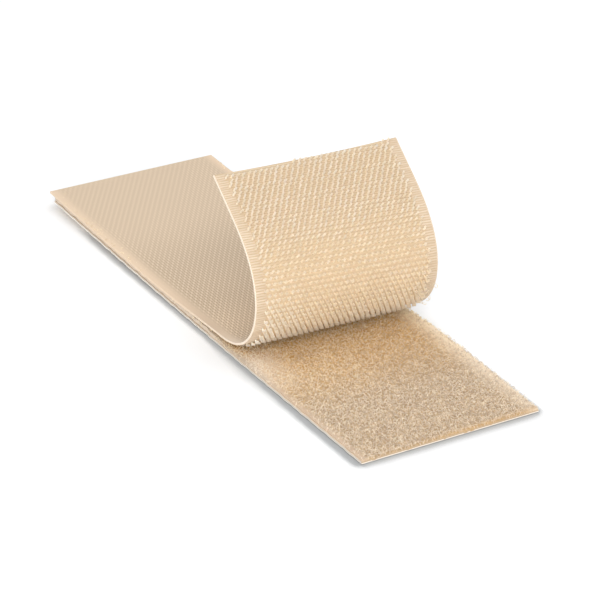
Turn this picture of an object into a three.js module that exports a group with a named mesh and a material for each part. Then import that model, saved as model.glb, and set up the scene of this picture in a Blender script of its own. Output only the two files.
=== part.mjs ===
// A closing pair of woven tapes: a loop strip lying flat, and a hook strip of the same cut length pressed
// onto it and peeled back at one end.
// Millimetres, +Z up. The origin is the centre of the loop strip's back, +X runs along the strips to the
// peeled end, and Y runs across them.

import * as THREE from 'three';

// Driving dimensions

const STRIP_LENGTH = 160;
const STRIP_WIDTH = 50;
const SELVEDGE = 3;

const LOOP_WEAVE = 0.6;
const PILE_HEIGHT = 1.0;
const PILE_SLOPE = 0.4;

const HOOK_WEAVE = 0.5;
const HOOK_HEIGHT = 1.2;
const HOOK_ROOT_SLICE = 0.2;
const HOOK_ROWS = 30;
const HOOK_FOOT = 0.8;
const HOOK_TIP = 0.45;

// Tips of the hooks stand this far off the pile where the strips are closed.
const CLOSED_GAP = 0.3;
// The hook strip starts this far outside the loop strip's end.
const END_OVERHANG = 2.5;

// Length of the hook strip that is peeled off, and of its first part that bends; the rest of it is straight.
const PEELED_LENGTH = 64;
const CURL_LENGTH = 52.6;
const CURL_TURN = THREE.MathUtils.degToRad(149);
// How slowly the bend starts at the peel line.
const CURL_EASE = 1.78;
// The peel line is this far off square to the strip.
const PEEL_SKEW = THREE.MathUtils.degToRad(2.3);

// The strip flexes at these many lines in its curl, and at these many in its closed part.
const CURL_LINES = 12;
const PEEL_LINES = 4;
const FLEX_GAP = 0.3;

// Levels and lines worked out from them

const halfWidth = STRIP_WIDTH / 2;
const fieldHalf = halfWidth - SELVEDGE;
const rowPitch = (2 * fieldHalf) / HOOK_ROWS;
const pileTop = LOOP_WEAVE + PILE_HEIGHT;
const weaveMiddle = pileTop + CLOSED_GAP + HOOK_HEIGHT + HOOK_WEAVE / 2;
const closedLength = STRIP_LENGTH - PEELED_LENGTH;
const turnPerLine = CURL_TURN / CURL_LINES;
const flexAxis = new THREE.Vector3(-Math.sin(PEEL_SKEW), -Math.cos(PEEL_SKEW), 0);

// Distance from the peel line, square to it, at which the strip has turned through a share of its curl.
function curlDistance(share) {
  return CURL_LENGTH * (1 - Math.sqrt(1 - share ** (1 / CURL_EASE)));
}

// Each flex line: its place along the strip's middle from the far end, and its bend as photographed.
function flexLines() {
  const lines = [];
  const firstCurl = closedLength + curlDistance(0.5 / CURL_LINES) / Math.cos(PEEL_SKEW);
  for (let i = 1; i <= PEEL_LINES; i += 1) {
    lines.push({ along: (firstCurl * i) / (PEEL_LINES + 1), bend: 0 });
  }
  for (let i = 0; i < CURL_LINES; i += 1) {
    const distance = curlDistance((i + 0.5) / CURL_LINES);
    lines.push({ along: closedLength + distance / Math.cos(PEEL_SKEW), bend: turnPerLine });
  }
  return lines;
}

// Materials

const loopWeaveCloth = new THREE.MeshStandardMaterial({ color: '#cfae84', roughness: 0.9, metalness: 0 });
const pileYarn = new THREE.MeshStandardMaterial({ color: '#d6ba94', roughness: 1, metalness: 0 });
const hookWeaveCloth = new THREE.MeshStandardMaterial({ color: '#dcc8ac', roughness: 0.9, metalness: 0 });
const hookFilament = new THREE.MeshStandardMaterial({ color: '#ead4ae', roughness: 0.55, metalness: 0 });

// Shapes

// An end cut square to the strip.
function squareCut(x) {
  return () => x;
}

// An end cut along the flex lines, a distance from the piece's own flex line.
function skewCut(distance) {
  return (y) => (distance + y * Math.sin(PEEL_SKEW)) / Math.cos(PEEL_SKEW);
}

// A bar of a section given as [y, z] points, between two end cuts that give x for each y.
function bar(section, startCut, endCut) {
  const outline = new THREE.Shape(section.map(([y, z]) => new THREE.Vector2(y, z)));
  const geometry = new THREE.ExtrudeGeometry(outline, { depth: 1, bevelEnabled: false });
  const position = geometry.attributes.position;
  for (let i = 0; i < position.count; i += 1) {
    const y = position.getX(i);
    const z = position.getY(i);
    const share = position.getZ(i);
    position.setXYZ(i, startCut(y) + (endCut(y) - startCut(y)) * share, y, z);
  }
  geometry.computeVertexNormals();
  return geometry;
}

function band(half, low, high) {
  return [[-half, low], [half, low], [half, high], [-half, high]];
}

// The napped pile: its sides lean in from the selvedges.
function pileSection() {
  const top = fieldHalf - PILE_SLOPE;
  return [[-fieldHalf, LOOP_WEAVE], [fieldHalf, LOOP_WEAVE], [top, pileTop], [-top, pileTop]];
}

// The rows of hooks on the thin slice of the weave that their roots fill.
function hookSection() {
  const root = -HOOK_WEAVE / 2;
  const slice = root - HOOK_ROOT_SLICE;
  const tip = root - HOOK_HEIGHT;
  const points = [[fieldHalf, root], [-fieldHalf, root], [-fieldHalf, slice]];
  for (let row = 0; row < HOOK_ROWS; row += 1) {
    const middle = -fieldHalf + rowPitch * (row + 0.5);
    points.push([middle - HOOK_FOOT / 2, slice]);
    points.push([middle - HOOK_TIP / 2, tip]);
    points.push([middle + HOOK_TIP / 2, tip]);
    points.push([middle + HOOK_FOOT / 2, slice]);
  }
  points.push([fieldHalf, slice]);
  return points;
}

function addPiece(group, name, geometry, material) {
  const mesh = new THREE.Mesh(geometry, material);
  mesh.name = name;
  group.add(mesh);
}

// The loop strip

function loopStrip() {
  const strip = new THREE.Group();
  const start = squareCut(-STRIP_LENGTH / 2);
  const end = squareCut(STRIP_LENGTH / 2);
  addPiece(strip, 'loop_weave', bar(band(halfWidth, 0, LOOP_WEAVE), start, end), loopWeaveCloth);
  addPiece(strip, 'loop_pile', bar(pileSection(), start, end), pileYarn);
  return strip;
}

// The hook strip, as a chain of lengths that each hang on the one before at a flex line

function hookStrip() {
  const strip = new THREE.Group();
  strip.position.set(-STRIP_LENGTH / 2 - END_OVERHANG, 0, weaveMiddle);
  const lines = flexLines();
  const starts = [0, ...lines.map((line) => line.along)];
  let piece = strip;
  starts.forEach((along, i) => {
    if (i > 0) {
      const next = new THREE.Group();
      next.position.x = along - starts[i - 1];
      next.quaternion.setFromAxisAngle(flexAxis, lines[i - 1].bend);
      piece.add(next);
      piece = next;
    }
    const last = i === lines.length;
    const length = (last ? STRIP_LENGTH : lines[i].along) - along;
    const start = i === 0 ? squareCut(0) : skewCut(FLEX_GAP / 2);
    const end = last ? squareCut(length) : skewCut(length * Math.cos(PEEL_SKEW) - FLEX_GAP / 2);
    const number = String(i + 1).padStart(2, '0');
    const weave = band(halfWidth, -HOOK_WEAVE / 2, HOOK_WEAVE / 2);
    addPiece(piece, `hook_weave_${number}`, bar(weave, start, end), hookWeaveCloth);
    addPiece(piece, `hook_rows_${number}`, bar(hookSection(), start, end), hookFilament);
  });
  return strip;
}

const part = new THREE.Group();
part.add(loopStrip());
part.add(hookStrip());

export default part;
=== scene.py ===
"""Hook and loop tape: a loop strip lying flat, and a hook strip closed on it and peeled back in a curl."""
import math

import bmesh
import bpy
import numpy as np
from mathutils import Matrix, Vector


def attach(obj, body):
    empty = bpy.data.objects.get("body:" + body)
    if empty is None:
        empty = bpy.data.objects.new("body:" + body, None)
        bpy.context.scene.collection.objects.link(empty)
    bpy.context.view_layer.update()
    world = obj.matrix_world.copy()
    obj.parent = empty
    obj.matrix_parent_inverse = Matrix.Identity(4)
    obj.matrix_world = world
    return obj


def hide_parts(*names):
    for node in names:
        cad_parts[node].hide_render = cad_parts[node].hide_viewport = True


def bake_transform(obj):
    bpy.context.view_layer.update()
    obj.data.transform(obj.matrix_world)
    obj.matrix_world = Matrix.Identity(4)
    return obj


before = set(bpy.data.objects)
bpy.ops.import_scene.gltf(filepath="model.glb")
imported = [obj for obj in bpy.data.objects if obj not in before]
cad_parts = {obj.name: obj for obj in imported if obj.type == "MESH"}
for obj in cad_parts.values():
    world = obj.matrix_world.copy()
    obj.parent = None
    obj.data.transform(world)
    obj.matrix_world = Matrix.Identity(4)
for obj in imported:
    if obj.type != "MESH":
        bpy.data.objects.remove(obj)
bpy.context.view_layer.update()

MM = 0.001
chance = np.random.default_rng(5)

# Sizes of the two strips, as the part's source has them

STRIP_LENGTH = 160 * MM
STRIP_WIDTH = 50 * MM
SELVEDGE = 3 * MM
LOOP_WEAVE = 0.6 * MM
PILE_HEIGHT = 1.0 * MM
HOOK_WEAVE = 0.5 * MM
HOOK_HEIGHT = 1.2 * MM
CLOSED_GAP = 0.3 * MM
END_OVERHANG = 2.5 * MM
PEELED_LENGTH = 64 * MM
CURL_LENGTH = 52.6 * MM
CURL_TURN = math.radians(149)
CURL_EASE = 1.78
PEEL_SKEW = math.radians(2.3)
CURL_LINES = 12
PEEL_LINES = 4

WEAVE_MIDDLE = LOOP_WEAVE + PILE_HEIGHT + CLOSED_GAP + HOOK_HEIGHT + HOOK_WEAVE / 2
FAR_END = -STRIP_LENGTH / 2 - END_OVERHANG
PEEL_LINE = STRIP_LENGTH - PEELED_LENGTH

# The lie of the two strips, where it is softer than in the source

# The free end was cut a little askew and hollow, and its far edge spreads towards it.
END_SKEW = 1.9 * MM
SKEW_PIVOT = 0.4
END_HOLLOW = 0.5 * MM
END_SPREAD = 0.45 * MM
SPREAD_START = 136 * MM
# The closed strip's far end is not pressed down: it rises a little over its last stretch.
END_LIFT = 1.0 * MM
LIFT_LENGTH = 60 * MM
# The selvedges of the closed part hang down a little, because no hooks hold them up.
DROOP = 0.8 * MM
DROOP_WIDTH = 5 * MM
DROOP_REACH = 25 * MM
FAR_REACH = 60 * MM
# The loop strip comes up with the closed strip's far end, and its edges do not quite touch the floor.
END_RISE = 2.0 * MM
RISE_START = 25 * MM
RISE_POWER = 1.6
EDGE_RISE = 0.2 * MM
EDGE_POWER = 6
# Its long edges ripple in two lengths of wave.
EDGE_RIPPLE = 0.06 * MM
LONG_RIPPLE = 7.3 * MM
SHORT_RIPPLE = 4.1 * MM
RIPPLE_POWER = 9
# Its far edge stands out a little in front of the curl and draws in towards the cut end.
FAR_EDGE_AT = (22 * MM, 32 * MM, 50 * MM, 80 * MM)
FAR_EDGE_OUT = (0, 0.5 * MM, 0, -1.4 * MM)
# Where the strips are closed, the hooks draw the pile up into the gap between them.
GRIP_RISE = 0.7 * MM
GRIP_END = 18 * MM
GRIP_RAMP = 14 * MM

# The hook strip's cloth

CLOSED_STEP = 1.2 * MM
CURL_STEP = 0.6 * MM
HOOK_ROUNDING = 0.12 * MM
END_FACING = 0.9
ACROSS_STEPS = 20
# A sealed cord runs along both long edges of the hook strip.
CORD = 0.22 * MM
CORD_SWELL = 1.2
# Turns of the weft show as fine ribs on the hook side of the selvedges.
RIB_PITCH = 0.64 * MM
RIB_WIDTH = 0.42 * MM
RIB_HEIGHT = 0.2 * MM
RIB_ROUNDING = 0.42
RIB_JITTER = math.radians(2)
# On the back of the closed part the weave is a little closer along the strip, and wider across it.
TWILL_PITCH_ALONG = 1.17 * MM
TWILL_PITCH_ACROSS = 1.54 * MM

# Hooks stand in rows across the strip, and every second row is shifted by half a pitch.

HOOK_PITCH_ALONG = 1.28 * MM
HOOK_PITCH_ACROSS = 1.48 * MM
HOOK_COLUMNS = 31
HOOK_END_MARGIN = 0.5 * MM
HOOK_REACH = 1.5 * MM
HOOK_ARCH = 0.25 * MM
HOOK_WIRE = 0.25 * MM
HOOK_CUT_LEG = 0.6 * MM
ROOT_DEPTH = 0.1 * MM
WIRE_SIDES = 6
ARCH_STEPS = 6
# All hooks are twisted one way, and two rows of every four a little further than the next two.
HOOK_TWIST = math.radians(-40)
BAND_TWIST = math.radians(8)
# The hooks that have just let go of the pile still lean back.
HOOK_LEAN = math.radians(21)
LEAN_UNTIL = 118 * MM
LEAN_RAMP = 13 * MM
# No two hooks are quite alike.
PLACE_JITTER = 0.03 * MM
TWIST_JITTER = math.radians(5)
LEAN_JITTER = math.radians(3)
SIZE_JITTER = 0.03
# A few filament loops hang out between them. Places, ring and stalk are in millimetres.
STRAY_LOOPS = 14
STRAY_ALONG = (110, 121)
STRAY_ACROSS = (19.5, 24.6)
STRAY_LEAN = math.radians(28)
STRAY_SIZES = (0.75, 1.25)
STRAY_POINTS = 9
STRAY_SPREAD = 0.25
STRAY_RING = 0.55
STRAY_STALK = 1.45
STRAY_RADIUS = 0.07 * MM

# The loop strip's cloth, and the bed of fibres on it, which is thinner at its long edges

LOOP_ROUNDING = 0.15 * MM
LOOP_STEPS = 160
FLAT_FACING = 0.95
PILE_MARGIN = 0.3 * MM
PILE_HALF = STRIP_WIDTH / 2 - PILE_MARGIN
MAT_TOP = LOOP_WEAVE + 0.55 * MM
THIN_FROM = 23 * MM
THIN_SINK = 0.4
BED_COLUMNS = 320
BED_ROWS = 90
BED_SHORTER = 0.2 * MM
BED_LUMPS = 0.9 * MM
BED_RELIEF = 0.35 * MM
BED_WALL = 1.0 * MM

# The pile's fibres are drawn about twice as thick as real ones, because those are too fine to show.

FIBRE_RADIUS = 0.046 * MM
FIBRE_CELL = 0.56 * MM
FIBRE_SHAPES = 10
PILE_PIECES = 7
FIBRE_SIZES = (0.8, 1.15)
FIBRE_LEAN = math.radians(14)
FIBRE_JITTER = 0.1 * MM
FIBRE_SINK = 0.2 * MM
MARGIN_LOSS = 0.45
# The path of one fibre over the bed, in millimetres
FIBRE_ROOT = -0.3
FIBRE_HEIGHTS = (0.12, 0.3, 0.33, 0.22, -0.2)
HEIGHT_JITTER = 0.05
FIBRE_STRIDE = (0.16, 0.32)
FIBRE_WANDER = 0.9
# Frayed fibres stand out over the far edge and the cut end, by so many millimetres.
FAR_FRAY = 800
FAR_FRAY_OUT = (-0.7, 0.2)
END_FRAY = 120
END_FRAY_BACK = (0.1, 0.6)
FRAY_THIN = 0.6
# Most fibres are either dark or pale. The thin margin is paler; the curl's painted shadow and dull places are
# darker.
TONE_SPLIT = (0.75, 0.55)
THIN_PALER = 0.1
CURL_SHADE_DARKER = 0.28
DULL_DARKER = 0.2


# The curled strip

RUN_SPARE = 4 * MM
RUN_POINTS = 3401


def way(value, start, end):
    """How far a value has come from a start to an end: 0 before the one and 1 past the other."""
    return np.clip((value - start) / (end - start), 0, 1)


def turn_after(distance):
    """How far the strip has turned at a distance past the peel line."""
    share = np.clip(distance / CURL_LENGTH, 0, 1)
    return CURL_TURN * (share * (2 - share)) ** CURL_EASE


run = np.linspace(0, PEELED_LENGTH + RUN_SPARE, RUN_POINTS)
turn_between = turn_after((run[1:] + run[:-1]) / 2)
run_forward = np.concatenate(([0], np.cumsum(np.cos(turn_between) * np.diff(run))))
run_upward = np.concatenate(([0], np.cumsum(np.sin(turn_between) * np.diff(run))))


def curled(flat):
    """Places of flat points on the curled strip.

    A flat point has its way along from the far end, its way across, and its height over the weave's middle.
    """
    along, across, height = np.asarray(flat, float).reshape(-1, 3).T
    spread = way(along, SPREAD_START, STRIP_LENGTH) * np.clip(2 * across / STRIP_WIDTH, 0, 1)
    across = across + END_SPREAD * spread
    past = (along - PEEL_LINE) * math.cos(PEEL_SKEW) - across * math.sin(PEEL_SKEW)
    beside = (along - PEEL_LINE) * math.sin(PEEL_SKEW) + across * math.cos(PEEL_SKEW)
    hang = np.clip(1 + (np.abs(across) - STRIP_WIDTH / 2) / DROOP_WIDTH, 0, None) ** 2
    height = height - DROOP * hang * np.clip(-past / DROOP_REACH, 0, 1) * np.clip(along / FAR_REACH, 0, 1)
    peeled = np.maximum(past, 0)
    turn = turn_after(peeled)
    forward = np.minimum(past, 0) + np.interp(peeled, run, run_forward) - np.sin(turn) * height
    upward = np.interp(peeled, run, run_upward) + np.cos(turn) * height
    lift = END_LIFT * np.clip(1 - along / LIFT_LENGTH, 0, 1) ** 2
    x = FAR_END + PEEL_LINE + forward * math.cos(PEEL_SKEW) + beside * math.sin(PEEL_SKEW)
    y = beside * math.cos(PEEL_SKEW) - forward * math.sin(PEEL_SKEW)
    return np.stack((x, y, WEAVE_MIDDLE + upward + lift), axis=1)


def raised(points):
    """The loop strip's own lie on the floor."""
    x, y = points[:, 0], points[:, 1]
    aside = 2 * y / STRIP_WIDTH
    end = END_RISE * np.clip((RISE_START - x) / (RISE_START + STRIP_LENGTH / 2), 0, 1) ** RISE_POWER
    edge = EDGE_RISE * np.clip(np.maximum(np.abs(aside), (2 * x / STRIP_LENGTH) ** 3), 0, 1) ** EDGE_POWER
    ripple = np.sin(2 * math.pi * x / LONG_RIPPLE) + np.sin(2 * math.pi * x / SHORT_RIPPLE + 1)
    outward = EDGE_RIPPLE * ripple * aside ** RIPPLE_POWER
    outward = outward + np.interp(x, FAR_EDGE_AT, FAR_EDGE_OUT) * np.clip(aside, 0, 1)
    return points + np.stack((0 * x, outward, end + edge), axis=1)


def gripped(x):
    """How far the hooks hold the pile at a place along it: 1 under the closed strip, 0 in the open."""
    share = np.clip((GRIP_END - x) / GRIP_RAMP, 0, 1)
    return share * share * (3 - 2 * share)


def flex_lines():
    """Where the strip's flex lines cross its middle, along from the far end."""
    shares = (np.arange(CURL_LINES) + 0.5) / CURL_LINES
    distances = CURL_LENGTH * (1 - np.sqrt(1 - shares ** (1 / CURL_EASE)))
    curl_lines = PEEL_LINE + distances / math.cos(PEEL_SKEW)
    peel_lines = curl_lines[0] * np.arange(1, PEEL_LINES + 1) / (PEEL_LINES + 1)
    return np.concatenate((peel_lines, curl_lines))


# The strip is cut half way between its flex lines, so that each length bends over one of them.
lines = flex_lines()
ends = np.concatenate(([0], lines, [STRIP_LENGTH]))
halfway = (ends[1:] + ends[:-1]) / 2
cuts = np.concatenate(([0], halfway[1:-1], [STRIP_LENGTH]))
LENGTHS = len(lines)


def cut_at(number, across):
    """Where a cut crosses the strip: square at its far end, and along the flex lines further on."""
    if number == LENGTHS:
        return free_end(across)
    return cuts[number] + (across * math.tan(PEEL_SKEW) if number else 0)


def free_end(across):
    """Where the strip ends at a place across it: askew and hollow, and shorter at the near edge."""
    share = across / STRIP_WIDTH
    return STRIP_LENGTH - END_SKEW * (SKEW_PIVOT - share) - END_HOLLOW * (1 - 4 * share * share)


def length_at(along, across):
    """Which length of the strip a flat point lies on."""
    inner = cuts[1:-1][None] + np.tan(PEEL_SKEW) * across[:, None]
    return (along[:, None] > inner).sum(axis=1)


# Modelling

ALIGNED = 0.999
TOUCHING = 0.001 * MM
RIM_SEGMENTS = 3
SMOOTH_BELOW = math.radians(50)


def begin():
    bpy.ops.object.select_all(action="DESELECT")


def named(name):
    piece = bpy.context.object
    piece.name = name
    piece.data.name = name
    return piece


def select(piece, kind, wanted):
    """Selects the edges or the faces of a piece that are wanted."""
    shape = bmesh.from_edit_mesh(piece.data)
    bpy.ops.mesh.select_mode(type=kind)
    bpy.ops.mesh.select_all(action="DESELECT")
    for part in shape.edges if kind == "EDGE" else shape.faces:
        part.select_set(bool(wanted(part)))
    bmesh.update_edit_mesh(piece.data)


def direction(edge):
    return (edge.verts[1].co - edge.verts[0].co).normalized()


def runs_along(edge):
    return abs(direction(edge).x) > ALIGNED


def runs_across(edge):
    return abs(direction(edge).y) > ALIGNED


def on_rim(edge):
    return runs_along(edge) and abs(edge.verts[0].co.y) > STRIP_WIDTH / 2 - TOUCHING


def tape(name, length, thickness, rounding, steps, cord=0.0):
    """A flat tape centred on the origin: a thin slab, with a cord along its long edges if it has one."""
    begin()
    bpy.ops.mesh.primitive_cube_add(size=1)
    piece = named(name)
    inner_width = STRIP_WIDTH - 2 * cord
    bpy.ops.object.mode_set(mode="EDIT")
    bpy.ops.transform.resize(value=(length, inner_width, thickness))
    select(piece, "EDGE", runs_across)
    bpy.ops.mesh.subdivide(number_cuts=ACROSS_STEPS - 1)
    if cord:
        select(piece, "FACE", lambda face: abs(face.normal.y) > ALIGNED)
        bpy.ops.mesh.extrude_region_move()
        bpy.ops.transform.resize(value=(1, STRIP_WIDTH / inner_width, CORD_SWELL))
    select(piece, "EDGE", on_rim)
    bpy.ops.mesh.bevel(offset=rounding, segments=RIM_SEGMENTS, affect="EDGES")
    select(piece, "EDGE", runs_along)
    bpy.ops.mesh.subdivide(number_cuts=steps - 1)
    bpy.ops.object.mode_set(mode="OBJECT")
    return piece


def points_of(piece):
    points = np.empty(len(piece.data.vertices) * 3)
    piece.data.vertices.foreach_get("co", points)
    return points.reshape(-1, 3)


def move_points(piece, points):
    piece.data.vertices.foreach_set("co", np.ascontiguousarray(points).ravel())
    piece.data.update()


def note(piece, name, values):
    """Keeps a number or a place for each point, for the materials to read."""
    kind, field = ("FLOAT", "value") if np.ndim(values) == 1 else ("FLOAT_VECTOR", "vector")
    made = piece.data.attributes.new(name, kind, "POINT")
    made.data.foreach_set(field, np.ascontiguousarray(values, dtype=np.float32).ravel())


def lay_on_curl(piece):
    """Bends a flat piece onto the curled strip, and notes where each point lay."""
    flat = points_of(piece)
    note(piece, "lie", flat)
    move_points(piece, curled(flat))


def shape_of(model):
    """Points and faces of a small model that is to be copied; the model itself goes."""
    points = points_of(model)
    corners = np.empty(len(model.data.loops), np.int32)
    model.data.loops.foreach_get("vertex_index", corners)
    sizes = np.empty(len(model.data.polygons), np.int32)
    model.data.polygons.foreach_get("loop_total", sizes)
    bpy.data.meshes.remove(model.data)
    return points, corners, sizes


def thread_shape(name, path, radius):
    """Points and faces of a short thread along a path."""
    curve = bpy.data.curves.new(name, "CURVE")
    curve.dimensions = "3D"
    curve.bevel_depth = radius
    curve.bevel_resolution = 0
    curve.use_fill_caps = True
    thread = curve.splines.new("POLY")
    thread.points.add(len(path) - 1)
    thread.points.foreach_set("co", np.c_[path, np.ones(len(path))].ravel())
    model = bpy.data.objects.new(name, curve)
    bpy.context.scene.collection.objects.link(model)
    begin()
    model.select_set(True)
    bpy.context.view_layer.objects.active = model
    bpy.ops.object.convert(target="MESH")
    return shape_of(bpy.context.object)


def copies(name, shape, turns, places, tones):
    """One piece made of turned and moved copies of a small shape, each with its own tone."""
    points, corners, sizes = shape
    count = len(places)
    placed = np.einsum("cij,pj->cpi", turns, points) + places[:, None]
    mesh = bpy.data.meshes.new(name)
    mesh.vertices.add(count * len(points))
    mesh.vertices.foreach_set("co", placed.ravel())
    mesh.loops.add(count * len(corners))
    offsets = len(points) * np.arange(count)
    mesh.loops.foreach_set("vertex_index", (corners[None] + offsets[:, None]).ravel())
    faces = np.tile(sizes, count)
    mesh.polygons.add(len(faces))
    mesh.polygons.foreach_set("loop_start", np.cumsum(faces) - faces)
    mesh.update(calc_edges=True)
    piece = bpy.data.objects.new(name, mesh)
    bpy.context.scene.collection.objects.link(piece)
    note(piece, "tone", np.repeat(tones, len(points)))
    return piece


def joined(pieces):
    begin()
    for piece in pieces:
        piece.select_set(True)
    bpy.context.view_layer.objects.active = pieces[0]
    bpy.ops.object.join()
    return pieces[0]


def smooth(piece):
    begin()
    piece.select_set(True)
    bpy.context.view_layer.objects.active = piece
    bpy.ops.object.shade_smooth_by_angle(angle=SMOOTH_BELOW)


def turned(about_x, about_y, about_z, size):
    """Turning matrices for copies: first about x, then about y and z, with a size for each."""
    cx, sx = np.cos(about_x), np.sin(about_x)
    cy, sy = np.cos(about_y), np.sin(about_y)
    cz, sz = np.cos(about_z), np.sin(about_z)
    zero, one = np.zeros_like(cx), np.ones_like(cx)
    lean_x = np.array([[one, zero, zero], [zero, cx, -sx], [zero, sx, cx]])
    lean_y = np.array([[cy, zero, sy], [zero, one, zero], [-sy, zero, cy]])
    spin_z = np.array([[cz, -sz, zero], [sz, cz, zero], [zero, zero, one]])
    return np.einsum("ijc,jkc,klc->cil", spin_z, lean_y, lean_x) * size[:, None, None]


# Colours and materials

def paint(code):
    """Linear colour of an sRGB hex code."""
    parts = [int(code[i:i + 2], 16) / 255 for i in (1, 3, 5)]
    return [x / 12.92 if x <= 0.04045 else ((x + 0.055) / 1.055) ** 2.4 for x in parts] + [1]


def add(tree, kind, inputs, out=0, **settings):
    """Adds a node with its settings, and gives back one of its outputs.

    Each input takes another node's output, a hex code or a value. A range node has its value at 0, and turns
    the range 1 to 2 into 3 to 4. A mix of colours has its share at 0 and the two colours at 6 and 7.
    """
    made = tree.nodes.new(kind)
    for name, value in settings.items():
        setattr(made, name, value)
    for socket, value in inputs.items():
        if isinstance(value, bpy.types.NodeSocket):
            tree.links.new(value, made.inputs[socket])
        else:
            made.inputs[socket].default_value = paint(value) if isinstance(value, str) else value
    return made.outputs[out]


def new_material(name, roughness, specular, sheen=0.0):
    made = bpy.data.materials.new(name)
    made.use_nodes = True
    shader = made.node_tree.nodes["Principled BSDF"]
    shader.inputs["Roughness"].default_value = roughness
    shader.inputs["Specular IOR Level"].default_value = specular
    shader.inputs["Sheen Weight"].default_value = sheen
    return made, made.node_tree, shader


def lie_in_mm(tree):
    """Where a point lay on the flat strip, as its place along, across and upwards in millimetres."""
    lie = add(tree, "ShaderNodeAttribute", {}, attribute_name="lie", out="Vector")
    scaled = add(tree, "ShaderNodeVectorMath", {0: lie, "Scale": 1 / MM}, operation="SCALE")
    return add(tree, "ShaderNodeSeparateXYZ", {0: scaled}).node.outputs


def own_place(tree):
    """Where a point lies, along the loop strip, across it and upwards."""
    place = add(tree, "ShaderNodeTexCoord", {}, out="Object")
    return add(tree, "ShaderNodeSeparateXYZ", {0: place}).node.outputs


def own_tone(tree):
    """The tone of a thread, which differs from one to the next."""
    return add(tree, "ShaderNodeAttribute", {}, attribute_name="tone", out="Fac")


def ribbing(tree, along, pitch):
    """Fine threads across the strip, from 0 between two threads to 1 on a thread."""
    turns = add(tree, "ShaderNodeMath", {0: along, 1: 2 * math.pi * MM / pitch}, operation="MULTIPLY")
    wave = add(tree, "ShaderNodeMath", {0: turns}, operation="COSINE")
    return add(tree, "ShaderNodeMath", {0: wave, 1: 0.5, 2: 0.5}, operation="MULTIPLY_ADD")


def hook_back_material():
    # Woven nylon ground, seen from its back: the hooks' roots make a fine twill of dots, matt and soft.
    made, tree, shader = new_material("woven_nylon_twill_back", roughness=0.85, specular=0.2, sheen=0.15)
    along, across, _ = lie_in_mm(tree)
    away = add(tree, "ShaderNodeMath", {0: across}, operation="ABSOLUTE")
    steep = add(tree, "ShaderNodeMath", {0: along, 1: math.pi * MM / TWILL_PITCH_ALONG}, operation="MULTIPLY")
    wide = add(tree, "ShaderNodeMath", {
        0: across, 1: 2 * math.pi * MM / TWILL_PITCH_ACROSS,
    }, operation="MULTIPLY")
    twill = add(tree, "ShaderNodeMath", {0: wide, 1: steep}, operation="ADD")
    other = add(tree, "ShaderNodeMath", {0: wide, 1: steep}, operation="SUBTRACT")
    twice = add(tree, "ShaderNodeMath", {0: twill, 1: 2.0}, operation="MULTIPLY")
    warp = add(tree, "ShaderNodeMath", {0: wide, 1: 2.0}, operation="MULTIPLY")
    # The dots stand out where the strip is bent, and the field fades into the plain selvedges.
    waves = ((twill, 0.21, 0.38), (warp, 0.4, 0.95), (other, 0.12, 0.38), (twice, 0.03, 0.4))
    dots = 0.0
    for turns, when_flat, when_bent in waves:
        wave = add(tree, "ShaderNodeMath", {0: turns}, operation="COSINE")
        sharp = add(tree, "ShaderNodeMapRange", {0: along, 1: 30.0, 2: 105.0, 3: when_flat, 4: when_bent})
        dots = add(tree, "ShaderNodeMath", {0: wave, 1: sharp, 2: dots}, operation="MULTIPLY_ADD")
    field = add(tree, "ShaderNodeMapRange", {
        0: away, 1: 20.5, 2: 24.4, 3: 0.5, 4: 0.0,
    }, interpolation_type="SMOOTHSTEP")
    share = add(tree, "ShaderNodeMath", {0: dots, 1: field, 2: 0.5}, operation="MULTIPLY_ADD")
    cloth = add(tree, "ShaderNodeMix", {0: share, 6: "#b9a184", 7: "#e7d3bb"}, data_type="RGBA", out=2)
    # Painted shade: it is darker in the middle of the closed part, where the curl shades it.
    darker = add(tree, "ShaderNodeMix", {0: share, 6: "#ae977b", 7: "#d9c6af"}, data_type="RGBA", out=2)
    toward = add(tree, "ShaderNodeMapRange", {
        0: along, 1: 30.0, 2: 62.0, 3: 0.0, 4: 1.0,
    }, interpolation_type="SMOOTHSTEP")
    past = add(tree, "ShaderNodeMapRange", {
        0: along, 1: 76.0, 2: 94.0, 3: 1.0, 4: 0.0,
    }, interpolation_type="SMOOTHSTEP")
    middle = add(tree, "ShaderNodeMath", {0: toward, 1: past}, operation="MULTIPLY")
    cloth = add(tree, "ShaderNodeMix", {0: middle, 6: cloth, 7: darker}, data_type="RGBA", out=2)
    # The selvedges are plain, and pale again at the foot of the curl, partly with painted light inside the
    # fold.
    plain = add(tree, "ShaderNodeMapRange", {
        0: away, 1: 21.5, 2: 24.8, 3: 0.0, 4: 1.0,
    }, interpolation_type="SMOOTHSTEP")
    bent = add(tree, "ShaderNodeMapRange", {0: along, 1: 45.0, 2: 100.0, 3: 0.0, 4: 1.0})
    edge = add(tree, "ShaderNodeMix", {0: bent, 6: "#e3cbb0", 7: "#d2bba2"}, data_type="RGBA", out=2)
    foot = add(tree, "ShaderNodeMapRange", {0: along, 1: 92.0, 2: 101.0, 3: 0.0, 4: 1.0})
    edge = add(tree, "ShaderNodeMix", {0: foot, 6: edge, 7: "#ead6be"}, data_type="RGBA", out=2)
    colour = add(tree, "ShaderNodeMix", {0: plain, 6: cloth, 7: edge}, data_type="RGBA", out=2)
    tree.links.new(colour, shader.inputs["Base Color"])
    bump = add(tree, "ShaderNodeBump", {"Strength": 0.35, "Distance": 0.08 * MM, "Height": share})
    tree.links.new(bump, shader.inputs["Normal"])
    return made


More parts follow.
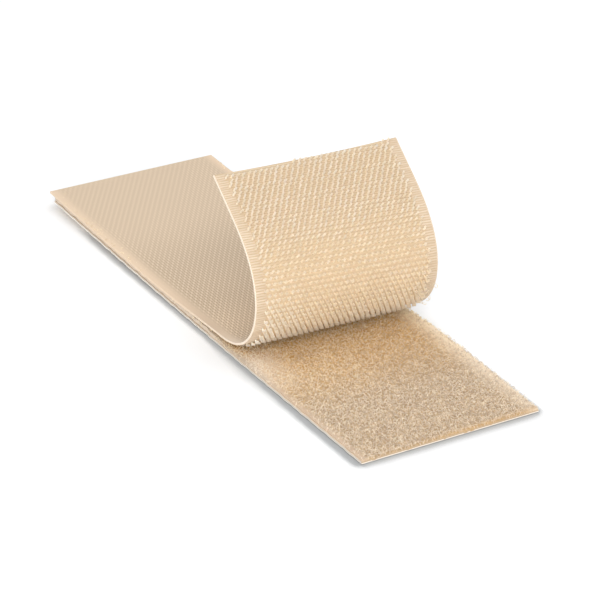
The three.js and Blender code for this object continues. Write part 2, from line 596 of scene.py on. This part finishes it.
def hook_ground_material():
    # The same ground between the hooks: warm and rough, and darkened by painted shade between the hooks.
    made, tree, shader = new_material("woven_nylon_hook_ground", roughness=0.9, specular=0.15)
    along, across, _ = lie_in_mm(tree)
    away = add(tree, "ShaderNodeMath", {0: across}, operation="ABSOLUTE")
    thread = ribbing(tree, along, HOOK_PITCH_ALONG / 2)
    field = add(tree, "ShaderNodeMix", {0: thread, 6: "#c3ad91", 7: "#d7c4a9"}, data_type="RGBA", out=2)
    # Painted light bounced up from the pile makes it paler towards the foot of the curl.
    pile_bounce = add(tree, "ShaderNodeMapRange", {0: along, 1: 112.0, 2: 142.0, 3: 1.0, 4: 0.0})
    field = add(tree, "ShaderNodeMix", {0: pile_bounce, 6: field, 7: "#e0cbac"}, data_type="RGBA", out=2)
    plain = add(tree, "ShaderNodeMapRange", {0: away, 1: 21.5, 2: 22.5, 3: 0.0, 4: 1.0})
    colour = add(tree, "ShaderNodeMix", {0: plain, 6: field, 7: "#c8b294"}, data_type="RGBA", out=2)
    tree.links.new(colour, shader.inputs["Base Color"])
    return made


def hook_edge_material():
    # Heat-sealed selvedge cord: dense and smooth, and paler where the strip is bent.
    made, tree, shader = new_material("sealed_nylon_edge", roughness=0.5, specular=0.4)
    along = lie_in_mm(tree)[0]
    thread = ribbing(tree, along, RIB_PITCH)
    new = add(tree, "ShaderNodeMix", {0: thread, 6: "#dec6aa", 7: "#e6d1b8"}, data_type="RGBA", out=2)
    paler = add(tree, "ShaderNodeMix", {0: thread, 6: "#ead9c5", 7: "#f3e6d6"}, data_type="RGBA", out=2)
    bent = add(tree, "ShaderNodeMapRange", {0: along, 1: 75.0, 2: 110.0, 3: 0.0, 4: 1.0})
    colour = add(tree, "ShaderNodeMix", {0: bent, 6: new, 7: paler}, data_type="RGBA", out=2)
    tree.links.new(colour, shader.inputs["Base Color"])
    return made


def hook_wire_material():
    # Drawn nylon filament: cream, satin and milky, so that light passes into the legs of the hooks.
    # Painted light: it is warmer near the pile, which lights it from below, and paler towards the free end
    # and the near side.
    made, tree, shader = new_material("nylon_hook_filament", roughness=0.65, specular=0.12)
    along, across, _ = lie_in_mm(tree)
    tone = own_tone(tree)
    warm = add(tree, "ShaderNodeMix", {0: tone, 6: "#f0dcc0", 7: "#fae8ce"}, data_type="RGBA", out=2)
    pale = add(tree, "ShaderNodeMix", {0: tone, 6: "#f0e1cb", 7: "#f9eddc"}, data_type="RGBA", out=2)
    away = add(tree, "ShaderNodeMapRange", {0: along, 1: 122.0, 2: 138.0, 3: 0.0, 4: 1.0})
    beside = add(tree, "ShaderNodeMapRange", {0: across, 1: -8.0, 2: -19.0, 3: 0.0, 4: 0.8})
    away = add(tree, "ShaderNodeMath", {0: away, 1: beside}, operation="MAXIMUM")
    colour = add(tree, "ShaderNodeMix", {0: away, 6: warm, 7: pale}, data_type="RGBA", out=2)
    tree.links.new(colour, shader.inputs["Base Color"])
    shader.inputs["Subsurface Weight"].default_value = 0.75
    shader.inputs["Subsurface Radius"].default_value = (1.0, 0.85, 0.65)
    shader.inputs["Subsurface Scale"].default_value = 0.5 * MM
    return made


def rib_material():
    # Weft turns at the edge: tight nylon yarn, a little paler than the field.
    made, tree, shader = new_material("nylon_weft_turns", roughness=0.7, specular=0.2, sheen=0.1)
    tone = own_tone(tree)
    colour = add(tree, "ShaderNodeMix", {0: tone, 6: "#d2bea6", 7: "#dccbb6"}, data_type="RGBA", out=2)
    tree.links.new(colour, shader.inputs["Base Color"])
    return made


def fibre_material():
    # Napped nylon loops: fine, curly and satin, with single fibres that catch the light.
    # Under and near the curl they are warmer, with painted shade and light bounced from the curl.
    made, tree, shader = new_material("napped_nylon_loops", roughness=0.45, specular=0.8, sheen=0.6)
    tone = own_tone(tree)
    open_nap = add(tree, "ShaderNodeMix", {0: tone, 6: "#b69f88", 7: "#fff4e1"}, data_type="RGBA", out=2)
    curl_warmed = add(tree, "ShaderNodeMix", {0: tone, 6: "#c2a47b", 7: "#fff0cc"}, data_type="RGBA", out=2)
    nap = add(tree, "ShaderNodeMix", {0: curl_warmth(tree), 6: open_nap, 7: curl_warmed}, data_type="RGBA", out=2)
    # Painted light makes the near margin paler next to the curl.
    nap = add(tree, "ShaderNodeMix", {0: painted_light_margin(tree), 6: nap, 7: "#fff6ea"}, data_type="RGBA", out=2)
    # The cut end's yarns get painted shade, more so towards the far side.
    nap = add(tree, "ShaderNodeMix", {0: cut_nap(tree), 6: nap, 7: "#d8b888"}, data_type="RGBA", out=2)
    tree.links.new(nap, shader.inputs["Base Color"])
    return made


def curl_warmth(tree):
    """How far the curl's painted shade and bounced light warm the nap: fully under the curl, and not near the
    open end.
    """
    along = own_place(tree)[0]
    return add(tree, "ShaderNodeMapRange", {0: along, 1: 22 * MM, 2: 57 * MM, 3: 1.0, 4: 0.0})


def painted_light_margin(tree):
    """Painted light on the near margin of the nap next to the curl, where light comes in low from the near
    side.
    """
    along, across, _ = own_place(tree)
    near = add(tree, "ShaderNodeMapRange", {0: across, 1: -14 * MM, 2: -22 * MM, 3: 0.0, 4: 0.8})
    start = add(tree, "ShaderNodeMapRange", {0: along, 1: 18 * MM, 2: 26 * MM, 3: 0.0, 4: 1.0})
    end = add(tree, "ShaderNodeMapRange", {0: along, 1: 27 * MM, 2: 45 * MM, 3: 1.0, 4: 0.0})
    curl = add(tree, "ShaderNodeMath", {0: start, 1: end}, operation="MULTIPLY")
    return add(tree, "ShaderNodeMath", {0: near, 1: curl}, operation="MULTIPLY")


def cut_nap(tree):
    """Where the nap was cut through it is darker and warmer, its cut yarns with painted shade, more so
    towards the far side.
    """
    along, across, _ = own_place(tree)
    end = add(tree, "ShaderNodeMapRange", {0: along, 1: 78.7 * MM, 2: 79.6 * MM, 3: 0.0, 4: 0.5})
    side = add(tree, "ShaderNodeMapRange", {0: across, 1: -14 * MM, 2: 2 * MM, 3: 0.2, 4: 1.0})
    return add(tree, "ShaderNodeMath", {0: end, 1: side}, operation="MULTIPLY")


def mat_material():
    # The bed of tangled fibres under the loops: matt, and darker with painted shade for the gaps between the
    # loops.
    made, tree, shader = new_material("tangled_nylon_bed", roughness=0.95, specular=0.1)
    place = add(tree, "ShaderNodeTexCoord", {}, out="Object")
    tangle = add(tree, "ShaderNodeTexNoise", {"Vector": place, "Scale": 1 / (0.8 * MM), "Detail": 3.0})
    share = add(tree, "ShaderNodeMapRange", {0: tangle, 1: 0.35, 2: 0.65, 3: 0.0, 4: 1.0})
    open_nap = add(tree, "ShaderNodeMix", {0: share, 6: "#ad9477", 7: "#cfb696"}, data_type="RGBA", out=2)
    curl_warmed = add(tree, "ShaderNodeMix", {0: share, 6: "#cb9a5b", 7: "#e8c285"}, data_type="RGBA", out=2)
    # Painted shade and light bounced from the curl make the bed warmer under and near the curl.
    bed = add(tree, "ShaderNodeMix", {0: curl_warmth(tree), 6: open_nap, 7: curl_warmed}, data_type="RGBA", out=2)
    # Painted light makes its near margin paler next to the curl.
    bed = add(tree, "ShaderNodeMix", {0: painted_light_margin(tree), 6: bed, 7: "#f3e2cd"}, data_type="RGBA", out=2)
    # Its cut end is darker and warmer with painted shade.
    bed = add(tree, "ShaderNodeMix", {0: cut_nap(tree), 6: bed, 7: "#cfa874"}, data_type="RGBA", out=2)
    # Its margins are thin and pale.
    along, across, _ = own_place(tree)
    opened = add(tree, "ShaderNodeMapRange", {0: along, 1: 33 * MM, 2: 43 * MM, 3: 0.0, 4: 1.0})
    margin = add(tree, "ShaderNodeMix", {0: opened, 6: "#d4c4b2", 7: "#d0b9a2"}, data_type="RGBA", out=2)
    near = add(tree, "ShaderNodeMapRange", {0: across, 1: -22.5 * MM, 2: -24.4 * MM, 3: 0.0, 4: 1.0})
    far = add(tree, "ShaderNodeMapRange", {0: across, 1: 19.0 * MM, 2: 24.3 * MM, 3: 0.0, 4: 1.0})
    bed = add(tree, "ShaderNodeMix", {0: near, 6: bed, 7: margin}, data_type="RGBA", out=2)
    bed = add(tree, "ShaderNodeMix", {0: far, 6: bed, 7: "#f0e0ca"}, data_type="RGBA", out=2)
    tree.links.new(bed, shader.inputs["Base Color"])
    bump = add(tree, "ShaderNodeBump", {"Strength": 0.7, "Distance": 0.3 * MM, "Height": tangle})
    tree.links.new(bump, shader.inputs["Normal"])
    return made


def loop_ground_material():
    # Woven nylon ground of the loop strip: plain ribbed cloth, pale tan.
    made, tree, shader = new_material("woven_nylon_loop_ground", roughness=0.85, specular=0.2, sheen=0.1)
    thread = ribbing(tree, lie_in_mm(tree)[0], RIB_PITCH)
    colour = add(tree, "ShaderNodeMix", {0: thread, 6: "#d2bda3", 7: "#dfcdb6"}, data_type="RGBA", out=2)
    tree.links.new(colour, shader.inputs["Base Color"])
    bump = add(tree, "ShaderNodeBump", {"Strength": 0.5, "Distance": 0.1 * MM, "Height": thread})
    tree.links.new(bump, shader.inputs["Normal"])
    return made


def loop_edge_material():
    # Sealed rim of the loop strip's ground: greyish sides, a tan end and a pale melted line below.
    made, tree, shader = new_material("sealed_nylon_rim", roughness=0.6, specular=0.3)
    along, _, up = lie_in_mm(tree)
    thread = ribbing(tree, along, RIB_PITCH)
    sides = add(tree, "ShaderNodeMix", {0: thread, 6: "#c9c1b8", 7: "#d3ccc4"}, data_type="RGBA", out=2)
    end = add(tree, "ShaderNodeMapRange", {0: along, 1: 79.8, 2: 79.9, 3: 0.0, 4: 1.0})
    rim = add(tree, "ShaderNodeMix", {0: end, 6: sides, 7: "#c3ab8c"}, data_type="RGBA", out=2)
    melted = add(tree, "ShaderNodeMapRange", {0: up, 1: -0.07, 2: 0.02, 3: 1.0, 4: 0.0})
    rim = add(tree, "ShaderNodeMix", {0: melted, 6: rim, 7: "#fbf3e8"}, data_type="RGBA", out=2)
    tree.links.new(rim, shader.inputs["Base Color"])
    return made


# Camera: the photograph's viewpoint, found from the strips' corners

VIEW_AZIMUTH = math.radians(59.702)
VIEW_ELEVATION = math.radians(26.532)
VIEW_DISTANCE = 661.227 * MM
VIEW_TARGET = Vector((1.121, 5.073, 0)) * MM
SENSOR_WIDTH = 36
FOCAL_LENGTH = 156.34
CLIP_START = 0.05
CLIP_END = 20


def make_camera():
    back = Vector((
        math.sin(VIEW_AZIMUTH) * math.cos(VIEW_ELEVATION),
        -math.cos(VIEW_AZIMUTH) * math.cos(VIEW_ELEVATION),
        math.sin(VIEW_ELEVATION),
    ))
    lens = bpy.data.cameras.new("camera")
    lens.sensor_width = SENSOR_WIDTH
    lens.lens = FOCAL_LENGTH
    lens.clip_start = CLIP_START
    lens.clip_end = CLIP_END
    camera = bpy.data.objects.new("camera", lens)
    camera.location = VIEW_TARGET + back * VIEW_DISTANCE
    camera.rotation_mode = "QUATERNION"
    camera.rotation_quaternion = (-back).to_track_quat("-Z", "Y")
    bpy.context.scene.collection.objects.link(camera)
    bpy.context.scene.camera = camera


# The hook strip

hook_back = hook_back_material()
hook_ground = hook_ground_material()
hook_edge = hook_edge_material()
hook_wire = hook_wire_material()
weft_turns = rib_material()


def bend(piece):
    """Bakes a length's placing into its points."""
    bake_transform(piece)


def settle(piece):
    """Lays what belongs to a length of the strip on the curl, and shades it smooth."""
    lay_on_curl(piece)
    smooth(piece)
    bend(piece)


def nodes_of(kind, i):
    """The solids that a length stands for: its own, and on the last length also the free end's."""
    first = ["hook_%s_%02d" % (kind, i + 1)]
    return first + (["hook_%s_%02d" % (kind, i + 2)] if i == LENGTHS - 1 else [])


def hook_cloth(i):
    length = cuts[i + 1] - cuts[i]
    steps = max(2, round(length / (CLOSED_STEP if i < PEEL_LINES else CURL_STEP)))
    piece = tape("hook_cloth_%02d" % (i + 1), length, HOOK_WEAVE, HOOK_ROUNDING, steps, CORD)
    for cloth in (hook_back, hook_ground, hook_edge):
        piece.data.materials.append(cloth)
    for face in piece.data.polygons:
        outside = abs(face.center.y) > STRIP_WIDTH / 2 - CORD or abs(face.normal.x) > END_FACING
        face.material_index = 2 if outside else 0 if face.normal.z > 0 else 1
    flat = points_of(piece)
    share = flat[:, 0] / length + 0.5
    flat[:, 0] = cut_at(i, flat[:, 1]) * (1 - share) + cut_at(i + 1, flat[:, 1]) * share
    move_points(piece, flat)
    settle(piece)
    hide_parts(*nodes_of("weave", i))


def hook_shape():
    """One hook: a leg, a round arch across the strip and a short cut leg, pointing down from the weave."""
    begin()
    leg = HOOK_REACH + ROOT_DEPTH - HOOK_ARCH - HOOK_WIRE
    bpy.ops.mesh.primitive_circle_add(
        vertices=WIRE_SIDES, radius=HOOK_WIRE, fill_type="NGON", location=(0, -HOOK_ARCH, 0),
    )
    model = named("hook")
    bpy.ops.object.transform_apply(location=True)
    bpy.ops.object.mode_set(mode="EDIT")
    bpy.ops.mesh.select_all(action="SELECT")
    bpy.ops.mesh.extrude_region_move(TRANSFORM_OT_translate={"value": (0, 0, -leg)})
    bpy.ops.mesh.spin(steps=ARCH_STEPS, angle=math.pi, center=(0, 0, -leg), axis=(1, 0, 0))
    bpy.ops.mesh.extrude_region_move(TRANSFORM_OT_translate={"value": (0, 0, HOOK_CUT_LEG)})
    bpy.ops.mesh.select_all(action="SELECT")
    bpy.ops.mesh.remove_doubles(threshold=TOUCHING)
    bpy.ops.mesh.normals_make_consistent(inside=False)
    bpy.ops.object.mode_set(mode="OBJECT")
    return shape_of(model)


def rib_shape():
    """One turn of the weft on a selvedge: a low rounded bar across it, on the hook side."""
    begin()
    bpy.ops.mesh.primitive_cube_add(size=1)
    model = named("rib")
    bpy.ops.object.mode_set(mode="EDIT")
    bpy.ops.transform.resize(value=(RIB_WIDTH, SELVEDGE - CORD / 2, RIB_HEIGHT))
    select(model, "EDGE", lambda edge: edge.verts[0].co.z < 0 and edge.verts[1].co.z < 0)
    bpy.ops.mesh.bevel(offset=RIB_ROUNDING * RIB_HEIGHT, segments=2, affect="EDGES")
    bpy.ops.object.mode_set(mode="OBJECT")
    return shape_of(model)


def hook_fields():
    along, across, row_of = [], [], []
    for row in range(round(STRIP_LENGTH / HOOK_PITCH_ALONG)):
        columns = HOOK_COLUMNS - row % 2
        across.append((np.arange(columns) - (columns - 1) / 2) * HOOK_PITCH_ACROSS)
        along.append(np.full(columns, (row + 0.5) * HOOK_PITCH_ALONG))
        row_of.append(np.full(columns, row))
    along, across, row_of = np.concatenate(along), np.concatenate(across), np.concatenate(row_of)
    kept = along < free_end(across) - HOOK_END_MARGIN
    along, across, row_of = along[kept], across[kept], row_of[kept]
    count = len(along)
    jitter = chance.normal(0, 1, (6, count))
    places = np.stack((
        along + PLACE_JITTER * jitter[0],
        across + PLACE_JITTER * jitter[1],
        np.full(count, -HOOK_WEAVE / 2 + ROOT_DEPTH),
    ), axis=1)
    twist = HOOK_TWIST + np.where(row_of % 4 < 2, -BAND_TWIST, BAND_TWIST) + TWIST_JITTER * jitter[3]
    turns = turned(LEAN_JITTER * jitter[4], LEAN_JITTER * jitter[2], twist, 1 + SIZE_JITTER * jitter[5])
    lean = HOOK_LEAN * np.clip((LEAN_UNTIL - along) / LEAN_RAMP + 1, 0, 1)
    nothing = np.zeros(count)
    turns = turned(nothing, lean, nothing, nothing + 1) @ turns
    tones = chance.uniform(0, 1, count)
    owner = length_at(along, across)
    shape = hook_shape()
    stray_shape = stray_loop_shape()
    stray_places, stray_turns, stray_tones = stray_loops()
    stray_owner = length_at(stray_places[:, 0], stray_places[:, 1])
    for i in range(LENGTHS):
        mine = owner == i
        stray = stray_owner == i
        piece = copies("hook_field_%02d" % (i + 1), shape, turns[mine], places[mine], tones[mine])
        if stray.any():
            extra = copies("stray", stray_shape, stray_turns[stray], stray_places[stray], stray_tones[stray])
            piece = joined([piece, extra])
        piece.data.materials.append(hook_wire)
        settle(piece)
        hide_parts(*nodes_of("rows", i))


def stray_loop_shape():
    """A loop of fine filament pulled out between the hooks: a stalk and a round turn."""
    around = np.linspace(-0.5, 1.25, STRAY_POINTS) * math.pi
    ring = np.stack((
        np.linspace(-STRAY_SPREAD, STRAY_SPREAD, STRAY_POINTS),
        STRAY_RING * np.cos(around),
        -STRAY_STALK - STRAY_RING * np.sin(around),
    ), axis=1)
    return thread_shape("stray", np.concatenate(([[0, 0, 0]], ring)) * MM, STRAY_RADIUS)


def stray_loops():
    """A few filament loops hang out where the curl leaves the pile, at the far selvedge."""
    places = np.stack((
        chance.uniform(*STRAY_ALONG, STRAY_LOOPS) * MM,
        chance.uniform(*STRAY_ACROSS, STRAY_LOOPS) * MM,
        np.full(STRAY_LOOPS, -HOOK_WEAVE / 2),
    ), axis=1)
    lean = STRAY_LEAN * chance.normal(0, 1, (2, STRAY_LOOPS))
    spin = chance.uniform(0, 2 * math.pi, STRAY_LOOPS)
    turns = turned(lean[0], lean[1], spin, chance.uniform(*STRAY_SIZES, STRAY_LOOPS))
    return places, turns, chance.uniform(0, 1, STRAY_LOOPS)


def hook_selvedges():
    along = (np.arange(round(STRIP_LENGTH / RIB_PITCH)) + 0.5) * RIB_PITCH
    middle = STRIP_WIDTH / 2 - SELVEDGE / 2 - CORD / 4
    places = np.concatenate([
        np.stack((along, np.full(len(along), side * middle), np.full(len(along), -HOOK_WEAVE / 2)), axis=1)
        for side in (-1, 1)
    ])
    places = places[places[:, 0] < free_end(places[:, 1]) - RIB_WIDTH / 2]
    count = len(places)
    nothing = np.zeros(count)
    turns = turned(nothing, nothing, RIB_JITTER * chance.normal(0, 1, count), nothing + 1)
    tones = chance.uniform(0, 1, count)
    owner = length_at(places[:, 0], places[:, 1])
    shape = rib_shape()
    for i in range(LENGTHS):
        mine = owner == i
        piece = copies("hook_selvedge_%02d" % (i + 1), shape, turns[mine], places[mine], tones[mine])
        piece.data.materials.append(weft_turns)
        settle(piece)


# The loop strip

loop_ground = loop_ground_material()
loop_edge = loop_edge_material()
loop_fibre = fibre_material()
loop_mat = mat_material()


def loop_cloth():
    piece = tape("loop_cloth", STRIP_LENGTH, LOOP_WEAVE, LOOP_ROUNDING, LOOP_STEPS)
    for cloth in (loop_ground, loop_edge):
        piece.data.materials.append(cloth)
    for face in piece.data.polygons:
        face.material_index = 0 if abs(face.normal.z) > FLAT_FACING else 1
    flat = points_of(piece)
    note(piece, "lie", flat)
    move_points(piece, raised(flat + np.array([0, 0, LOOP_WEAVE / 2])))
    smooth(piece)
    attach(piece, "loop_tape")
    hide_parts("loop_weave")


def loop_bed():
    """The bed of tangled fibres: a lumpy mat on the weave, closed down to it at its sides."""
    begin()
    bpy.ops.mesh.primitive_grid_add(x_subdivisions=BED_COLUMNS, y_subdivisions=BED_ROWS, size=1)
    piece = named("loop_bed")
    bpy.ops.object.mode_set(mode="EDIT")
    bpy.ops.mesh.select_all(action="SELECT")
    bpy.ops.transform.resize(value=(STRIP_LENGTH - BED_SHORTER, 2 * PILE_HALF, 1))
    bpy.ops.transform.translate(value=(0, 0, MAT_TOP))
    bpy.ops.object.mode_set(mode="OBJECT")
    lumps = bpy.data.textures.new("lumps", "CLOUDS")
    lumps.noise_scale = BED_LUMPS
    relief = piece.modifiers.new("relief", "DISPLACE")
    relief.texture = lumps
    relief.texture_coords = "LOCAL"
    relief.strength = BED_RELIEF
    bpy.ops.object.modifier_apply(modifier="relief")
    points = points_of(piece)
    thin = way(np.abs(points[:, 1]), THIN_FROM, PILE_HALF)
    grip = gripped(points[:, 0])
    depth = (points[:, 2] - LOOP_WEAVE) * (1 - THIN_SINK * thin * thin * (1 - grip))
    points[:, 2] = LOOP_WEAVE + depth + GRIP_RISE * grip
    move_points(piece, raised(points))
    wall = piece.modifiers.new("wall", "SOLIDIFY")
    wall.thickness = BED_WALL
    wall.offset = -1
    bpy.ops.object.modifier_apply(modifier="wall")
    piece.data.materials.append(loop_mat)
    smooth(piece)
    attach(piece, "loop_tape")
    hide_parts("loop_pile")


def fibre_shape(index):
    """One napped loop: it leaves the bed, wanders over it in a few turns and goes back down."""
    heading = chance.uniform(0, 2 * math.pi)
    place = np.array([0.0, 0.0, FIBRE_ROOT])
    path = [place.copy()]
    for height in FIBRE_HEIGHTS:
        heading += chance.normal(0, FIBRE_WANDER)
        reach = chance.uniform(*FIBRE_STRIDE)
        place = place + np.array([math.cos(heading) * reach, math.sin(heading) * reach, 0])
        place[2] = height + chance.normal(0, HEIGHT_JITTER)
        path.append(place.copy())
    path = (np.array(path) - np.array([*np.mean(path, axis=0)[:2], 0])) * MM
    return thread_shape("fibre_%d" % index, path, FIBRE_RADIUS)


def loop_fibres():
    columns = np.arange(-STRIP_LENGTH / 2 + FIBRE_CELL / 2, STRIP_LENGTH / 2, FIBRE_CELL)
    rows = np.arange(-PILE_HALF + FIBRE_CELL / 2, PILE_HALF, FIBRE_CELL)
    x, y = (grid.ravel() for grid in np.meshgrid(columns, rows, indexing="ij"))
    x = x + FIBRE_CELL * chance.uniform(-0.5, 0.5, len(x))
    y = y + FIBRE_CELL * chance.uniform(-0.5, 0.5, len(y))
    thin = way(np.abs(y), THIN_FROM, PILE_HALF)
    kept = chance.uniform(0, 1, len(x)) > MARGIN_LOSS * thin
    x, y, thin = np.clip(x[kept], -STRIP_LENGTH / 2 + PILE_MARGIN, STRIP_LENGTH / 2), y[kept], thin[kept]
    x = np.concatenate((
        x,
        STRIP_LENGTH * chance.uniform(-0.5, 0.5, FAR_FRAY),
        STRIP_LENGTH / 2 - chance.uniform(*END_FRAY_BACK, END_FRAY) * MM,
    ))
    y = np.concatenate((
        y,
        PILE_HALF + chance.uniform(*FAR_FRAY_OUT, FAR_FRAY) * MM,
        PILE_HALF * chance.uniform(-1, 1, END_FRAY),
    ))
    thin = np.concatenate((thin, np.full(FAR_FRAY + END_FRAY, FRAY_THIN)))
    count = len(x)
    grip = gripped(x)
    top = MAT_TOP - FIBRE_SINK * thin * (1 - grip) + GRIP_RISE * grip
    z = top + FIBRE_JITTER * chance.normal(0, 1, count)
    places = raised(np.stack((x, y, z), axis=1))
    lean = FIBRE_LEAN * chance.normal(0, 1, (2, count))
    spin = chance.uniform(0, 2 * math.pi, count)
    turns = turned(lean[0], lean[1], spin, chance.uniform(*FIBRE_SIZES, count))
    # Painted shadow of the curl: the nap is darker on the far side in front of the curl.
    curl_shade = way(x, 28 * MM, 36 * MM) * way(x, 62 * MM, 44 * MM)
    curl_shade = curl_shade * way(y, -4 * MM, 8 * MM) * way(y, 24 * MM, 17 * MM)
    # Its near margin is duller towards the cut end.
    darker = thin * (y < 0) * way(x, 33 * MM, 43 * MM)
    split = chance.beta(*TONE_SPLIT, count)
    tones = np.clip(split + THIN_PALER * thin - CURL_SHADE_DARKER * curl_shade - DULL_DARKER * darker, 0, 1)
    kind = chance.integers(0, FIBRE_SHAPES, count)
    share = np.clip(((x / STRIP_LENGTH + 0.5) * PILE_PIECES).astype(int), 0, PILE_PIECES - 1)
    shapes = [fibre_shape(k) for k in range(FIBRE_SHAPES)]
    for part in range(PILE_PIECES):
        parts = []
        for k, shape in enumerate(shapes):
            mine = (share == part) & (kind == k)
            name = "loop_fibres_%d_%d" % (part, k)
            parts.append(copies(name, shape, turns[mine], places[mine], tones[mine]))
        piece = joined(parts)
        piece.name = piece.data.name = "loop_fibres_%d" % (part + 1)
        piece.data.materials.append(loop_fibre)
        smooth(piece)
        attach(piece, "loop_tape")


# Floor and light

FLOOR_SIZE = 8
FLOOR_STEPS = 4
FLOOR_DROP = 0.02 * MM
FLOOR_GLOW = 0.05
# The glow is bluish, which paints the floor's shadows a little blue.
GLOW_COLOUR = (0.7, 0.95, 1.2, 1)
OPEN_WHITE = 0.95
# How far the strips' shade reaches over the floor: at the far end, at the cut end and on the near side.
FAR_CONTACT = 1.3 * MM
END_CONTACT = 4.2 * MM
NEAR_CONTACT = 4.4 * MM
NEAR_CONTACT_START = 2.0 * MM
SHADE_SAMPLES = 16
SKY_STRENGTH = 0.7
SKY_COLOUR = (0.985, 1.0, 1.02, 1)
PLAIN_LAMP = (1, 1, 1)
WARM_LAMP = (1.0, 0.95, 0.88)


def seen_straight(tree):
    """1 for what the camera sees, also in a mirror or through glass, and 0 for light that falls on things."""
    path = add(tree, "ShaderNodeLightPath", {}).node.outputs
    straight = add(tree, "ShaderNodeMath", {
        0: path["Is Camera Ray"], 1: path["Is Glossy Ray"],
    }, operation="MAXIMUM")
    return add(tree, "ShaderNodeMath", {0: straight, 1: path["Is Transmission Ray"]}, operation="MAXIMUM")


def shade_reach(tree, along, across, near):
    """How far the shade reaches: further at the cut end and the near side, and little at the far side."""
    reach = add(tree, "ShaderNodeMapRange", {
        0: along, 1: -80 * MM, 2: 80 * MM, 3: FAR_CONTACT, 4: END_CONTACT,
    })
    near_reach = add(tree, "ShaderNodeMapRange", {
        0: along, 1: 8 * MM, 2: 30 * MM, 3: NEAR_CONTACT_START, 4: NEAR_CONTACT,
    })
    shorter = add(tree, "ShaderNodeMapRange", {0: along, 1: 32 * MM, 2: 52 * MM, 3: 1.0, 4: 0.66})
    near_reach = add(tree, "ShaderNodeMath", {0: near_reach, 1: shorter}, operation="MULTIPLY")
    reach = add(tree, "ShaderNodeMix", {0: near, 2: reach, 3: near_reach})
    far = add(tree, "ShaderNodeMapRange", {0: across, 1: 23 * MM, 2: 26 * MM, 3: 1.0, 4: 0.35})
    return add(tree, "ShaderNodeMath", {0: reach, 1: far}, operation="MULTIPLY")


def shade_depth(tree, along, near):
    """How much of the light the paper gives back where the shade is deepest."""
    dark = add(tree, "ShaderNodeMapRange", {0: along, 1: -60 * MM, 2: 40 * MM, 3: 0.66, 4: 0.45})
    lighter = add(tree, "ShaderNodeMapRange", {0: along, 1: 79 * MM, 2: 81 * MM, 3: 0.0, 4: 0.05})
    dark = add(tree, "ShaderNodeMath", {0: dark, 1: lighter}, operation="ADD")
    deeper = add(tree, "ShaderNodeMapRange", {0: along, 1: 0.0, 2: 25 * MM, 3: 0.0, 4: -0.07})
    return add(tree, "ShaderNodeMath", {0: near, 1: deeper, 2: dark}, operation="MULTIPLY_ADD")


def paper_material():
    # White paper: it keeps the contact shadow and shows as clean white to the camera further away.
    made = bpy.data.materials.new("white_paper_sweep")
    made.use_nodes = True
    tree = made.node_tree
    tree.nodes.remove(tree.nodes["Principled BSDF"])
    along, across, _ = own_place(tree)
    near = add(tree, "ShaderNodeMapRange", {0: across, 1: -23 * MM, 2: -26 * MM, 3: 0.0, 4: 1.0})
    reach = shade_reach(tree, along, across, near)
    close = add(tree, "ShaderNodeAmbientOcclusion", {"Distance": reach}, samples=SHADE_SAMPLES, out="AO")
    open_end = add(tree, "ShaderNodeMapRange", {0: along, 1: 10 * MM, 2: 55 * MM, 3: 0.0, 4: 0.13})
    deepest = add(tree, "ShaderNodeMath", {0: near, 1: open_end, 2: 0.8}, operation="MULTIPLY_ADD")
    dark = shade_depth(tree, along, near)
    shade = add(tree, "ShaderNodeMapRange", {0: close, 1: deepest, 2: 1.0, 3: dark, 4: OPEN_WHITE})
    paper = add(tree, "ShaderNodeBsdfDiffuse", {"Color": shade})
    # Beyond the far edge the paper glows more to the camera: painted light that hides the curl's shade there.
    level = add(tree, "ShaderNodeMapRange", {
        0: across, 1: 25 * MM, 2: 32 * MM, 3: FLOOR_GLOW, 4: 2 * FLOOR_GLOW,
    })
    glow = add(tree, "ShaderNodeMath", {0: seen_straight(tree), 1: level}, operation="MULTIPLY")
    white = add(tree, "ShaderNodeEmission", {"Color": GLOW_COLOUR, "Strength": glow})
    both = add(tree, "ShaderNodeAddShader", {0: paper, 1: white})
    tree.links.new(both, tree.nodes["Material Output"].inputs["Surface"])
    return made


def make_floor():
    begin()
    bpy.ops.mesh.primitive_grid_add(
        x_subdivisions=FLOOR_STEPS, y_subdivisions=FLOOR_STEPS, size=FLOOR_SIZE, location=(0, 0, -FLOOR_DROP),
    )
    floor = named("floor")
    floor.data.materials.append(paper_material())


def make_light():
    world = bpy.data.worlds.new("studio")
    bpy.context.scene.world = world
    world.use_nodes = True
    tree = world.node_tree
    sky = tree.nodes["Background"]
    sky.inputs["Color"].default_value = SKY_COLOUR
    level = add(tree, "ShaderNodeMapRange", {0: seen_straight(tree), 1: 0.0, 2: 1.0, 3: SKY_STRENGTH, 4: 1.0})
    tree.links.new(level, sky.inputs["Strength"])
    soft_box("top_soft_box", place=(0.1, 0.2, 1.1), size=0.9, power=3.0, colour=PLAIN_LAMP)
    soft_box("front_soft_box", place=(0.97, -0.62, 0.57), size=0.8, power=9.0, colour=WARM_LAMP)
    soft_box("near_soft_box", place=(0.55, -0.95, 0.14), size=0.5, power=1.3, colour=WARM_LAMP)


def soft_box(name, place, size, power, colour):
    """A square lamp that faces the middle of the loop strip."""
    lamp = bpy.data.lights.new(name, "AREA")
    lamp.shape = "SQUARE"
    lamp.size = size
    lamp.energy = power
    lamp.color = colour
    box = bpy.data.objects.new(name, lamp)
    box.location = place
    box.rotation_mode = "QUATERNION"
    box.rotation_quaternion = (-Vector(place)).to_track_quat("-Z", "Y")
    bpy.context.scene.collection.objects.link(box)


make_camera()
loop_cloth()
loop_bed()
loop_fibres()
for i in range(LENGTHS):
    hook_cloth(i)
hook_fields()
hook_selvedges()
make_floor()
make_light()
bpy.context.scene.view_settings.view_transform = "Standard"
